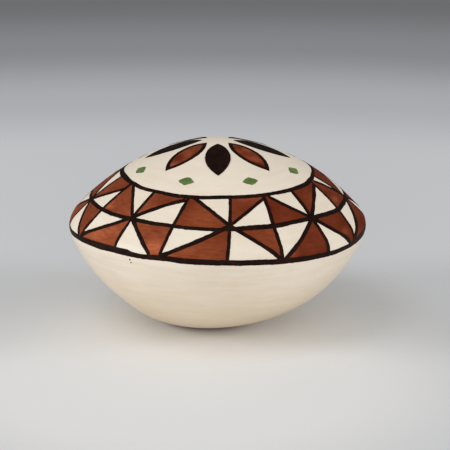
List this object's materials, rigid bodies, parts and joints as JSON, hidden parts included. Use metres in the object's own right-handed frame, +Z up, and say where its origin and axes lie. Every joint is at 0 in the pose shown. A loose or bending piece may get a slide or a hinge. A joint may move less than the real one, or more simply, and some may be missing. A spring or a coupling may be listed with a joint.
{
  "type": "pottery seed pot",
  "caption": "Hollow pottery seed pot with a rounded bowl, turned-in shoulder and low dome with a small seed hole, white-slipped and painted with a red and dark triangle band.",
  "frame": {"origin": "centre of the flat foot, on the surface that the pot stands on", "axes": "+Z up along the pot's axis; -Y is the front of the painted band; the seed hole is on the +Y side"},
  "size_m": [0.0762, 0.0762, 0.0471],
  "materials": {
    "fired_clay": "bare low-fired earthenware, matt",
    "white_slip": "stone-polished white clay slip, soft sheen",
    "dark_paint": "fired mineral and plant paint, matt",
    "red_paint": "fired red clay slip, brushed, matt",
    "green_paint": "green mineral paint, matt"
  },
  "bodies": {
    "root": {"base_bowl": "fired_clay", "wall_coil_lower": "fired_clay", "wall_coil_upper": "fired_clay", "shoulder_coil": "fired_clay", "dome_coil": "fired_clay", "mouth_coil": "fired_clay", "crown_cap": "fired_clay", "white_slip": "white_slip", "shoulder_line": "dark_paint", "mid_line": "dark_paint", "crown_line": "dark_paint", "lower_strokes": "dark_paint", "upper_strokes": "dark_paint", "lower_red_triangles": "red_paint", "upper_red_triangles": "red_paint", "dark_petals": "dark_paint", "red_petal_lines": "dark_paint", "red_petals": "red_paint", "green_lozenges": "green_paint", "mouth_line": "dark_paint"}
  },
  "joints": []
}
